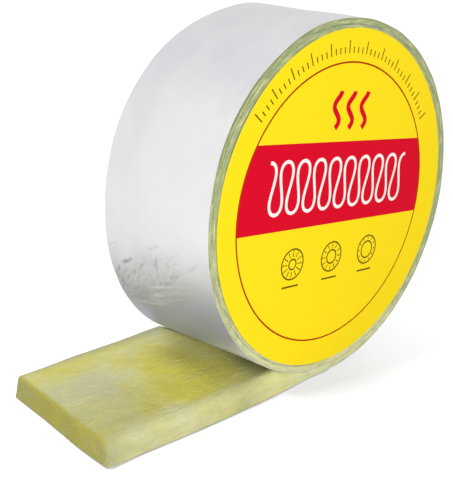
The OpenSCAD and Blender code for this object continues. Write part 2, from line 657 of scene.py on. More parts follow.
def foil_material(foil):
    """Satin foil on paper: broad cloudiness, fine crinkle and scuffs part dirty and part bared, with painted
    highlight, shade and light by the angle round the roll.
    """
    s = Shader("foil", Metallic=foil.metallic, Specular_IOR_Level=0.5)
    cloud = s.math("ADD", s.noise(34 * MM, 4, 0.6, distortion=0.2), -0.5)
    # The foil's random cloudiness, on top of its painted highlight and shade by angle
    clean = s.math("MULTIPLY_ADD", cloud, 1.5, s.painted("clean"))
    tone = s.mix(s.spread(clean, 0, 1), foil.grey, foil.silver)
    # Painted light on the foil close to the tail
    tone = s.mix(s.painted("cool"), tone, foil.cool)
    # Painted shade on the lower side, bluer where it faces the tail
    tone = s.mix(s.painted("dull"), tone, s.mix(s.painted("low"), foil.dull, foil.dim))

    # Fine scratches that lie along the rows, a haze above them, and the marks painted on the sheet
    row, side, scuffed = (s.painted(name) for name in ("row", "side", "scuffed"))
    scratch = s.noise(1.1 * MM, 3, 0.6, s.flat(s.times(side, 0.1), row), 0.3)
    haze = s.noise(3 * MM, 4, 0.65, distortion=1)
    level = s.add("ShaderNodeMix", {0: s.spread(row, 27 * MM, 38 * MM), 2: haze, 3: scratch}).outputs[0]
    grit = s.noise(2.2 * MM, 4, 0.7, distortion=0.6)
    for layer, in_scuffs, in_marks, tint in (
        ("soiled", (0.44, 0.64, 0.14, 0.55), (0.3, 0.6, 0.5, 1), foil.soiled),
        ("bared", (0.46, 0.34, 0, 0.36), (0.35, 0.65, 1, 0.5), foil.bared),
    ):
        scuffs = s.times(scuffed, s.spread(level, *in_scuffs))
        marks = s.times(s.painted(layer), s.spread(grit, *in_marks))
        tone = s.mix(s.math("MAXIMUM", scuffs, marks), tone, tint)
    s.link(tone, "Base Color")
    s.link(s.spread(s.noise(20 * MM, 4, 0.6), 0.3, 0.7, 0.38, 0.52), "Roughness")
    crinkle = s.bump(s.noise(9 * MM, 5, 0.55, s.stretched(1, 0.6, 1), 0.8), 0.4 * MM, 0.25)
    wrinkle = s.noise(3.6 * MM, 3, 0.5, s.stretched(1, 0.5, 0.6), 0.3)
    s.link(s.bump(s.times(wrinkle, s.painted("wrinkled")), MM, 0.5, crinkle), "Normal")
    return s.material


def paper_material(name, tint, backing=None):
    """Coated paper, which may have another back, or ink on it: a faint tooth in tone and height."""
    s = Shader(name, Specular_IOR_Level=0.07)
    tooth = s.noise(0.9 * MM, 4, 0.6)
    tone = s.mix(s.spread(tooth, 0.35, 0.65), tint, darker(tint, 0.96))
    if backing is not None:
        tone = s.mix(s.painted("back"), tone, backing)
    s.link(tone, "Base Color")
    s.link(s.spread(s.noise(30 * MM, 3), 0.3, 0.7, 0.55, 0.65), "Roughness")
    s.link(s.bump(tooth, 0.05 * MM, 0.4), "Normal")
    return s.material


# Pieces


# Points up the wool's section, as shares of its height, and how many steps it has across
WOOL_HEIGHTS = (0, 0.08, 0.25, 0.45, 0.62, 0.76, 0.86, 0.93, 0.975, 1)
TAIL_ACROSS = 48
TURN_ACROSS = 4
# Stations along the tail: close together at the cut end, then even
TAIL_STATIONS = np.append(np.array([0, 0.1, 0.3, 0.7, 1.2, 2, 3, 4.2]) * MM, np.linspace(5.5 * MM, TAIL, 84))

# The tail's near corner, where its wool is worn, and how far the wear reaches along, across and up
CORNER = np.array([FOIL_LOW.x, WOOL_LOW.y, 5 * MM])
CORNER_REACH = np.array([4, 4, 8]) * MM
# Patches on the tail: millimetres from under the roll's middle, across and in reach, and a tone
# from deep (-1) to pale (1)
TAIL_PATCHES = (
    (90, -4, 14, -0.8), (80, 2, 13, -0.8), (84, -17, 14, -0.8), (71, -14, 15, -0.8), (75, 14, 10, -0.6),
    (66, 14, 9, -0.5), (94, -26, 9, -0.6), (77, -28, 11, -0.6), (112, -26, 8, -0.6), (64, -33, 10, -0.4),
    (130, 26, 8, -0.4), (120, 29, 8, -0.3), (94, 35, 6, -0.3), (137, -30, 8, -0.3), (125, 6, 17, 0.9),
    (133, -5, 12, 0.6), (108, 14, 11, 0.8), (139, 15, 8, 0.5), (127, -15, 9, 0.3), (121, -34, 8, 0.6),
    (103, -36, 9, 0.8), (86, 25, 7, 0.8), (76, 36, 8, 0.7), (62, 33, 8, 0.7), (104, 2, 8, 0.3),
    (110, 27, 9, -0.7), (106, 36, 8, -0.5), (134, -17, 9, -0.3),
)
# Places on the turns' ends, in degrees round the roll: the middle, and the reach before and after it
# DARK_RIM is where the painted shade beside the outermost foil is strongest
DARK_RIM = (143, 65, 40)
LOW_FRAY = (-92, 110, 85)
LEFT_FRAY = (180, 25, 40)


def quarter_round(depth, radius):
    """How far a rounded edge draws in at a depth below it."""
    short = np.clip(radius - depth, 0, radius)
    return radius - np.sqrt(np.maximum(radius**2 - short**2, 0))


class ROLL_OT_wool(Operator):
    """Winds the wool: the tail, then every turn down to the bore"""

    bl_idname = "insulation_roll.wool"
    bl_label = "Wool"

    # Rounding of a pressed turn's edges, and room left under the turn above and under the roll
    TIGHT = 0.4 * MM
    UNDER_TURN = 0.05 * MM
    UNDER_ROLL = 0.1 * MM

    def shares(self, q):
        return even_shares(q, 2 * MM if q < 4 else inner_spacing(q))

    def loops(self, path, across):
        """The section's loops at all stations: a free tail with soft edges, then turns pressed flat."""
        strip, wool = self.strip, self.wool
        a, h = loop_shares(across, WOOL_HEIGHTS)
        half, aside = (v[:, None] for v in half_widths(path, strip))
        in_tail, outermost = path.in_tail[:, None], path.outermost[:, None]
        along = path.along[:, None]
        far_side = np.maximum(a, 0) ** 3 * in_tail
        beside = ramp(along, 45 * MM, 95 * MM) * ramp(TAIL - along, 20 * MM, 45 * MM) * far_side
        cut = quarter_round(along, wool.cut_round) * in_tail
        corner = quarter_round(along, np.where(a < 0, 0.6 * wool.near_round, wool.cut_round)) * in_tail

        # The tail's top is free, or lies under the roll
        x = path.xz[:, 0, None] + 0 * a
        y = MID_Y + a * half + aside
        rows = path.in_tail
        loft = LOFT + 0.3 * wool.splay * beside - cut
        top = np.full(x.shape, TURN - self.UNDER_TURN)
        top[rows] = np.minimum(loft[rows], roll_underside(x[rows], y[rows], strip) - self.UNDER_ROLL)
        looseness = np.clip((top - TURN) / (LOFT - TURN), 0, 1)
        radius = self.TIGHT + (np.where(a < 0, wool.near_round, wool.far_round) - self.TIGHT) * looseness
        rounding = quarter_round((1 - h) * (top - FACING), radius)

        # A pressed turn bulges between its foils; at the labelled end the outermost covers its foil's edge
        covers = outermost & (h < 0.5) & (a < 0)
        shallow = np.where(covers, 0.1, np.where(a < 0, 0.35, 1))
        dip = wool.edge_dip * np.abs(2 * h - 1) ** 3 * shallow * (1 - looseness)
        y = MID_Y + a * (half - rounding - dip - corner) + aside + wool.splay * beside
        # The cut end's far corner leans: out at its foot and in at its top
        y += wool.flare * (1 - 2.4 * h) * bell(along / (20 * MM)) * far_side
        # The wool lies back from the middle of the outer foil, so that its creases have room
        back = 0.6 * MM * outermost * (1 - a**4) * (h == 0)
        skin = np.where(in_tail, FACING, FACING - 0.3 * MM * np.abs(a) ** 8)
        loops = path.at((skin + back) * (1 - h) + h * top, y)
        loops[..., 0] -= cut_bulge(along, a, strip) * in_tail
        return loops

    def bloom(self, points):
        """Where the tail is pale (1) and where it is deep (-1)."""
        warp = np.stack([ripple(points, 20 * MM, seed) for seed in (25, 26)], 1) * 4 * MM
        spots = np.stack([FOOT_X - points[:, 0], points[:, 1] - MID_Y], 1) + warp
        total = np.zeros(len(points))
        for from_foot, across, reach, tone in TAIL_PATCHES:
            total += tone * bell(np.linalg.norm((spots / MM - [from_foot, across]) / reach, axis=1))
        return np.clip(total, -1, 1)

    def tones(self, path, points, station, rise):
        """Shares of each tone at each point, and of the open wool that fibres stand on."""
        wound = ~path.in_tail[station]
        _, degrees = round_axis(points)
        across = across_strip(points)
        beyond_edge = np.abs(points[:, 1] - MID_Y) - HALF_W
        from_foot = np.where(wound, 0, FOOT_X - points[:, 0])
        under = roll_underside(points[:, 0], points[:, 1], self.strip) - points[:, 2]
        loose = ramp(from_foot, 12 * MM, 62 * MM)
        on_edge = ramp(beyond_edge, -3 * MM, -0.5 * MM)
        is_open = np.maximum(ramp(under, MM, 15 * MM), on_edge)
        is_open *= loose * ramp(points[:, 2], FACING, FACING + 2 * MM)
        # Painted shadow of the roll on the tail's top, strongest right under it
        pressed = bell(np.maximum(under, 0) / ((9 - 3 * across) * MM)) * np.clip(0.6 - 0.7 * across, 0, 1)
        cut_face = ramp(path.along[station], 2.86 * MM, 0.26 * MM) * ~wound
        frayed = swelling(degrees, *LOW_FRAY) + 0.1 * swelling(degrees, *LEFT_FRAY)

        # Painted shade: the outermost turn is darker beside its own foil and beside the next turn's
        depth = np.where(path.outermost[station], rise * TURN, 1)
        rim = bell(depth / MM) + 0.6 * bell((TURN - depth) / (0.7 * MM))

        # Painted shade on the tail's top: darker towards the label's side, towards its cut end, beside the
        # roll and right under it
        inner = ramp(across, -1, -0.75)
        from_foot = from_foot / MM
        to_cut = (0.13 - 0.11 * across) * (0.55 + 0.45 * inner) * ramp(from_foot + 20 * inner, 105, 140)
        by_roll = 0.3 * bell((from_foot - 66) / 11) * ramp(across, 0.65, 0.25)
        by_roll += 0.1 * bell((from_foot - 57) / 7) * ramp(across, 0.85, 0.45) * ramp(across, -0.3, 0)
        dusk = 0.06 * (1 - across) * inner + to_cut + by_roll * (0.6 + 0.4 * inner)
        return {
            "bloom": self.bloom(points) * ~wound,
            "side_face": ramp(beyond_edge, -7 * MM, 0) * loose,
            "end_face": on_edge * (1 - 0.8 * loose),
            "cut_face": cut_face,
            "worn": bell(np.linalg.norm((points - CORNER) / CORNER_REACH, axis=1)),
            "pressed": pressed * (1 - on_edge) * ~wound,
            "rim": rim * (0.25 + 0.75 * swelling(degrees, *DARK_RIM)),
            "faded": np.where(points[:, 1] > MID_Y, 0.5, frayed),
            "dusk": dusk * (1 - 0.8 * cut_face) * loose,
            "run": path.along[station],
            "layer": rise * TURN,
            "open_wool": np.maximum(is_open, on_edge * wound),
        }

    def fluffed(self, obj, points, rise, wound, is_open):
        """Points with lumps and tufts where the wool is open, and with the turns' ends swollen."""
        wool = self.wool
        normals = np.zeros(points.size, np.float32)
        obj.data.vertex_normals.foreach_get("vector", normals)
        lump = wool.lump * ripple(points, 16 * MM, 21) + wool.nap * ripple(points, 4.2 * MM, 22)
        calm = 1 - 0.7 * ramp(points[:, 1] - MID_Y - HALF_W, -8 * MM, -2 * MM)
        points = points + normals.reshape(-1, 3) * (lump * is_open * calm)[:, None]
        points[:, 2] = np.maximum(points[:, 2], FACING)

        # The bare end's turns swell unevenly between their foils; the labelled end stays flush
        bare = wound & (points[:, 1] > MID_Y + HALF_W - 2 * MM)
        between = 1 - np.abs(2 * rise[bare] - 1) ** 3
        points[bare, 1] += (0.5 + 0.6 * ripple(points[bare], 9 * MM, 23)) * MM * between
        labelled = wound & (points[:, 1] < MID_Y - HALF_W + 2 * MM)
        points[labelled, 1] += 0.2 * MM * (1 + ripple(points[labelled], 7 * MM, 24))
        return points

    def execute(self, context):
        self.strip, self.wool = context.scene.roll_strip, context.scene.roll_wool
        path = Path(TAIL_STATIONS, self.shares)
        fine, coarse = (self.loops(path, n) for n in (TAIL_ACROSS, TURN_ACROSS))
        sweep = Sweep(WOOL_HEIGHTS)
        sweep.extend(fine[path.in_tail], TAIL_ACROSS)
        sweep.cap(np.arange(fine.shape[1]), TAIL_ACROSS, at_end=False)
        sweep.extend(coarse[~path.in_tail], TURN_ACROSS)
        sweep.cap(sweep.last[0], TURN_ACROSS, at_end=True)
        points, station, rise = sweep.result()
        wound = ~path.in_tail[station]
        points[wound] = settle(points[wound], self.strip)

        obj = new_mesh("wool_strip", points, sweep.faces, wool_material(self.wool))
        tones = self.tones(path, points, station, rise)
        points = self.fluffed(obj, points, rise, wound, tones["open_wool"] * ~wound)
        obj.data.vertices.foreach_set("co", points.ravel())
        obj.data.update()
        paint(obj, **tones)
        wear(obj, "glass_wool", "glass_wool", "tail_wool")
        return {"FINISHED"}


class ROLL_OT_fibres(Operator):
    """Scatters loose glass fibres over the open wool"""

    bl_idname = "insulation_roll.fibres"
    bl_label = "Loose fibres"

    SEGMENTS = 3
    SIDES = 3

    def roots(self, count, random):
        """Random places and normals on the open wool."""
        mesh = bpy.data.objects["wool_strip"].data
        corners = triangles(mesh)
        points = np.zeros(len(mesh.vertices) * 3)
        mesh.vertices.foreach_get("co", points)
        is_open = np.zeros(len(mesh.vertices))
        mesh.attributes["open_wool"].data.foreach_get("value", is_open)
        a, b, c = points.reshape(-1, 3)[corners].transpose(1, 0, 2)
        normal = np.cross(b - a, c - a)
        size = np.linalg.norm(normal, axis=1)
        near_label = np.hypot(a[:, 0] - AXIS_X, a[:, 2] - AXIS_Z) < LABEL_R + MM
        under_label = near_label & (a[:, 1] < MID_Y - HALF_W + 4 * MM)
        weight = size * is_open[corners].min(1) * ~under_label
        pick = random.choice(len(weight), count, p=weight / weight.sum())
        u, v = random.random((2, count, 1))
        flip = u + v > 1
        u, v = np.where(flip, 1 - u, u), np.where(flip, 1 - v, v)
        place = a[pick] + u * (b[pick] - a[pick]) + v * (c[pick] - a[pick])
        return place, normal[pick] / np.maximum(size[pick, None], 1e-12)

    def execute(self, context):
        wool = context.scene.roll_wool
        random = np.random.default_rng(7)
        count = wool.fibres
        place, normal = self.roots(count, random)
        along = np.cross(normal, random.normal(size=(count, 3)))
        along /= np.linalg.norm(along, axis=1, keepdims=True)
        side = np.cross(normal, along)
        reach = wool.fibre_length * (0.25 + 0.75 * random.random((count, 1)) ** 2)
        lift = reach * random.uniform(0.03, 0.28, (count, 1))
        curl = reach * random.normal(0, 0.25, (count, 1))
        rings = []
        for k in range(self.SEGMENTS + 1):
            t = k / self.SEGMENTS
            middle = place - 0.3 * MM * normal * (1 - t) + along * reach * t + normal * lift * t**1.6
            middle = middle + side * curl * t * t
            middle[:, 2] = np.maximum(middle[:, 2], 2 * wool.fibre_radius)
            for n in range(self.SIDES):
                turn = 2 * math.pi * n / self.SIDES
                taper = wool.fibre_radius * (1 - 0.6 * t)
                rings.append(middle + taper * (math.cos(turn) * normal + math.sin(turn) * side))
        points = np.stack(rings, 1)
        per = points.shape[1]
        faces = []
        for k in range(self.SEGMENTS):
            for n in range(self.SIDES):
                low, high = k * self.SIDES, (k + 1) * self.SIDES
                m = (n + 1) % self.SIDES
                faces.append((low + n, low + m, high + m, high + n))
        ends = [tuple(range(self.SIDES))[::-1], tuple(range(per - self.SIDES, per))]
        starts = per * np.arange(count)
        quads = (np.array(faces)[None] + starts[:, None, None]).reshape(-1, 4).tolist()
        caps = (np.array(ends)[None] + starts[:, None, None]).reshape(-1, self.SIDES).tolist()
        obj = new_mesh("wool_fibres", points.reshape(-1, 3), quads + caps, fibre_material(wool))
        wear(obj, "glass_wool")
        return {"FINISHED"}


# The foil's two faces, and how many steps the sheet has across, plain and over the scuffs
FOIL_HEIGHTS = (0, 1)
SHEET_ACROSS = 64
SCUFF_ACROSS = 160
# Shares of the last outer quarter turn between which the scuffs lie
SCUFF_SHARES = (0.02, 0.42)
# How far a row of scuffs drops along the strip for each step towards the bare end
SCUFF_DROP = 0.45
# Marks of the scuffed patch, in millimetres: row, place across, slant in degrees, half length, half width,
# and tone, from soiled (-1) to bared (1)
SCUFF_MARKS = (
    (5.2, 33.5, 0, 4.5, 0.5, -0.2), (7.8, 32, 2, 3, 0.4, -0.14), (14, 0.4, 4, 4, 0.8, -0.28),
    (16.9, 25.6, 0, 2.8, 1.1, -1), (16.7, 21, 14, 2.4, 0.9, -0.8), (21, -15, 5, 3.6, 0.6, -0.2),
    (29.4, -26, 14, 3.6, 0.8, -0.28), (22.8, 35, -28, 3.5, 1.4, -0.34), (26, 27.5, 30, 2.8, 1.5, -0.4),
    (23.6, 0.5, 68, 3.6, 1.2, -0.42), (25, -3.5, 39, 6, 0.9, 0.48), (25.8, -8.5, 39, 5, 0.7, 0.3),
    (25.6, -6, 39, 5, 0.6, -0.24), (28, 21.5, 42, 5, 0.9, 0.45), (29.3, 16, 42, 4, 0.8, 0.35),
    (22.8, 11.5, 8, 4.2, 0.7, 0.35), (33.6, 0, -7, 8, 1.8, -0.34), (35.8, 1.5, -7, 9, 0.5, 0.6),
    (34, 30, -7, 9, 0.5, 0.3), (39, 24, -7, 15, 7, -0.36), (32, -10, 20, 4, 1.4, -0.2),
    (19.6, 33.5, 30, 2.4, 1.2, -0.7), (27.5, 33.2, -63, 4.5, 1.6, -0.6), (24.3, 22, 25, 3, 1.3, -0.55),
    (23.4, 14, 25, 2.5, 0.8, -0.45),
)
# Loose groups of more marks: count, then ranges of row, place across, half length and half width,
# slant and its spread, and range of tone
SCUFF_GROUPS = (
    (80, (19, 36), (-14, 38), (1.4, 4), (0.5, 1.1), (38, 14), (-0.34, 0.34)),
    (48, (34, 48), (-12, 34), (4, 11), (0.35, 0.8), (-2, 6), (-0.28, 0.28)),
    (64, (21, 40), (6, 40), (1, 2.8), (0.5, 1), (36, 22), (-0.45, 0.2)),
)
# Painted sheen of the outer turn by its angle in degrees: a painted highlight on its lit side and painted
# shade near its top
SHEEN_ANGLES = (0, 60, 105, 128, 140, 150, 160, 170, 180, 190, 210, 300, 360)
SHEEN_SHARES = (0.4, 0.4, 0.35, 0.05, 0.35, 0.85, 1, 0.95, 0.8, 0.45, 0.2, 0.4, 0.4)
# Places on the outer turn, in degrees round the roll: the middle, and the reach before and after it
LIT_SIDE = (168, 30, 25)
# SHADED_FOOT is where that painted shade is deepest, at the bare end's foot
SHADED_FOOT = (212, 14, 18)
# Where the painted shade on the foil's lower side starts and ends, in degrees, and how far each shifts
# towards the bare end
SHADE_START, SHADE_START_SHIFT = 187, 4
SHADE_END, SHADE_END_SHIFT = 227.8, 13.3
# How far the outer turn's foil stops short of the strip's edges
EDGE_INSET = 0.1 * MM


class ROLL_OT_foil(Operator):
    """Lays the foil on the strip: the tail's sole, the outer turn and the edges between the turns"""

    bl_idname = "insulation_roll.foil"
    bl_label = "Foil facing"

    def shares(self, q):
        """Stations of a quarter turn: closest over the scuffs."""
        if q == 3:
            low, high = SCUFF_SHARES
            stretches = ((0, low, 3), (low, high, 0.45), (high, 1, 3))
            return np.concatenate([even_shares(q, s * MM, a, b) for a, b, s in stretches])
        return even_shares(q, 3 * MM if q < 4 else inner_spacing(q))

    def scuffs(self, row, side):
        """Height, soiling and bareness of the scuffs on the sheet: soiled grooves and bared ridges."""
        random = np.random.default_rng(5)
        marks = list(SCUFF_MARKS)
        for count, rows, sides, half_lengths, half_widths, slant, tones in SCUFF_GROUPS:
            for _ in range(count):
                place = random.uniform(*rows), random.uniform(*sides)
                size = random.uniform(*half_lengths), random.uniform(*half_widths)
                marks.append((*place, random.normal(*slant), *size, random.uniform(*tones)))
        soiled, bared = np.zeros((2, *row.shape))
        for at, across, slant, half_length, half_width, tone in marks:
            turn = math.radians(slant)
            p, r = row / MM - at, side / MM - across
            lengthwise = (r * math.cos(turn) + p * math.sin(turn)) / half_length
            crosswise = (p * math.cos(turn) - r * math.sin(turn)) / half_width
            mark = np.exp(-(crosswise**2) - lengthwise**4)
            soiled += mark * max(-tone, 0)
            bared += mark * max(tone, 0)
        return bared - 0.7 * soiled, np.clip(soiled, 0, 1), np.clip(bared, 0, 1)

    def sheet(self, path, rows, across):
        """The sheet that shows, at some stations: its loops, and the tones to paint on them."""
        strip, foil = self.strip, self.foil
        a, h = loop_shares(across, FOIL_HEIGHTS)
        half, aside = (v[rows, None] for v in half_widths(path, strip))
        in_tail = path.in_tail[rows, None]
        along = path.along[rows, None] + 0 * a

        # The sole stands out on the label's side, most at its corner
        corner = bell(along / foil.curl_reach) * (a < 0) * in_tail
        proud = np.where(in_tail, foil.lip + foil.curl * corner, -EDGE_INSET)
        reach = np.abs(a) * np.where(a < 0, half + proud, HALF_W - EDGE_INSET)
        reach -= quarter_round(along, foil.corner) * np.abs(a) ** 8 * (a < 0) * in_tail
        side = np.sign(a) * reach
        y = MID_Y + side + aside
        thin = FACING * np.where(in_tail, 1, 1 - 0.75 * np.abs(a) ** 24)
        loops = path.at(h * thin, y, rows)

        # Waves and scuffs of the outer turn
        places = np.stack([along, y, 0 * y], -1).reshape(-1, 3)

        def unevenness(size, seed, stretch=(1, 1, 1)):
            return ripple(places * stretch, size, seed).reshape(y.shape)

        wave = unevenness(30 * MM, 31) + 0.6 * unevenness(11 * MM, 32, (1, 0.6, 1))
        row = along - path.along[np.searchsorted(path.quarter, 3)] - SCUFF_DROP * side
        scuffed = ramp(row, 12 * MM, 26 * MM) * ramp(row, 52 * MM, 40 * MM) * (path.quarter[rows, None] == 3)
        scuffed *= ramp(side, -26 * MM, 0) * ramp(side, 52 * MM, 32 * MM)
        scuffed *= np.clip(0.6 + 0.8 * unevenness(14 * MM, 35), 0, 1)
        crease, soiled, bared = self.scuffs(row, side) if across == SCUFF_ACROSS else np.zeros((3, *y.shape))
        crease = crease - 0.4 * scuffed * unevenness(1.6 * MM, 36, (1, 0.3, 1))
        wound = ~in_tail * ramp(loops[..., 2], 2 * MM, 22 * MM)
        out = (foil.wave * wave * (1 - a**4) + foil.crease_height * crease * (1 - a**12)) * wound
        loops[..., [0, 2]] -= path.inward[rows, None] * out[..., None]

        # The sole's slightly lifted edges and uneven cut
        edge = (1 - corner) * in_tail
        rim = ramp(np.abs(a), 0.96, 1) * edge * ramp(TAIL - along, 0, 20 * MM)
        loops[..., 2] += rim * (0.4 + 0.3 * unevenness(20 * MM, 33)) * MM
        ragged = 0.15 * MM * (1 + unevenness(12 * MM, 34))
        loops[..., 0] -= ramp(along, 3 * MM, 0) * ragged + cut_bulge(along, a, strip) * in_tail
        # The sole's outer edges are darker
        soiled = np.maximum(soiled, 0.5 * edge * ramp(np.abs(a), 0.97, 0.99))
        return loops, [tone.ravel() for tone in (soiled, bared, row, side, scuffed)]

    def tones(self, points, turns, painted):
        """Tones by the angle round the roll, those of the sheet, and painted shade on the edges in the
        grooves.
        """
        degrees = round_axis(points)[1] % 360
        across = across_strip(points)
        names = ("soiled", "bared", "row", "side", "scuffed")
        layers = {name: np.zeros(len(points)) for name in names}
        # Painted shade on the edges of the inner turns' foil, which lie in the grooves between the turns
        layers["soiled"][:] = np.where(across > 0, 0.35, 0.7)
        for name, parts in zip(names, zip(*painted)):
            shown = np.concatenate(parts)
            layers[name][: shown.size] = shown
        # Painted highlight and shade by the angle round the roll, the highlight weaker towards the bare end
        clean = np.interp(degrees, SHEEN_ANGLES, SHEEN_SHARES) - 0.25 * across * swelling(degrees, *LIT_SIDE)
        # Painted shade on the foil's lower side, deepest at the bare end's foot and weaker over the scuffs
        starting = SHADE_START + SHADE_START_SHIFT * ramp(across, 0.3, 0.7)
        ending = SHADE_END + SHADE_END_SHIFT * across
        foot_shade = ramp(across, 0.15, 0.55) * swelling(degrees, *SHADED_FOOT)
        dull = ramp(degrees, starting, starting + 26) * ramp(degrees, ending + 14, ending)
        dull *= (0.815 + 0.185 * foot_shade) * (1 - (0.35 - 0.3 * foot_shade) * layers["scuffed"])
        # Painted light on the foil close to the tail
        cool = ramp(degrees, ending - 6, ending + 8) * (degrees < 300)
        wrinkled = bell((degrees - 138) / 16) * bell((across + 0.55) / 0.5)
        layers["clean"] = np.where(turns, clean, 0.3)
        # Low is where the painted shade turns bluer, facing the tail
        layers["low"] = ramp(degrees, ending - 24, ending - 12)
        layers.update(dull=dull * turns, cool=cool * turns, wrinkled=wrinkled * turns)
        return layers

    def execute(self, context):
        self.strip, self.foil = context.scene.roll_strip, context.scene.roll_foil
        path = Path(np.linspace(0, TAIL, 64), self.shares)
        sheet = path.in_tail | path.outermost
        first = np.searchsorted(path.quarter, 3)
        way = (path.along - path.along[first]) / (quarter(3)[1] * math.pi / 2)
        scuffed = (path.quarter == 3) & (way > SCUFF_SHARES[0]) & (way <= SCUFF_SHARES[1])
        before = sheet & (np.cumsum(scuffed) == 0)
        after = sheet & ~before & ~scuffed
        sweep, painted = Sweep(FOIL_HEIGHTS), []
        for rows, across in ((before, SHEET_ACROSS), (scuffed, SCUFF_ACROSS), (after, SHEET_ACROSS)):
            loops, tones = self.sheet(path, rows, across)
            painted.append(tones)
            sweep.extend(loops, across)
        sweep.cap(np.arange(2 * SHEET_ACROSS + 2), SHEET_ACROSS, at_end=False)

        # The edges of the inner turns lie in the grooves between them
        a, h = loop_shares(TURN_ACROSS, FOIL_HEIGHTS)
        half, aside = (v[~sheet, None] for v in half_widths(path, self.strip))
        inset = np.where(a < 0, 0.5, 0.6) * MM
        y = MID_Y + a * (half - inset) + aside
        sweep.extend(path.at(FACING * h + 0 * half, y, ~sheet), TURN_ACROSS)
        sweep.cap(sweep.last[0], TURN_ACROSS, at_end=True)

        points, station, _ = sweep.result()
        turns = ~path.in_tail[station]
        points[turns] = settle(points[turns], self.strip)
        points[:, 2] = np.maximum(points[:, 2], 0)
        obj = new_mesh("foil_sheet", points, sweep.faces, foil_material(self.foil))
        obj.data.set_sharp_from_angle(angle=math.radians(50))
        paint(obj, **self.tones(points, turns, painted))
        wear(obj, "foil", "foil_facing")
        return {"FINISHED"}


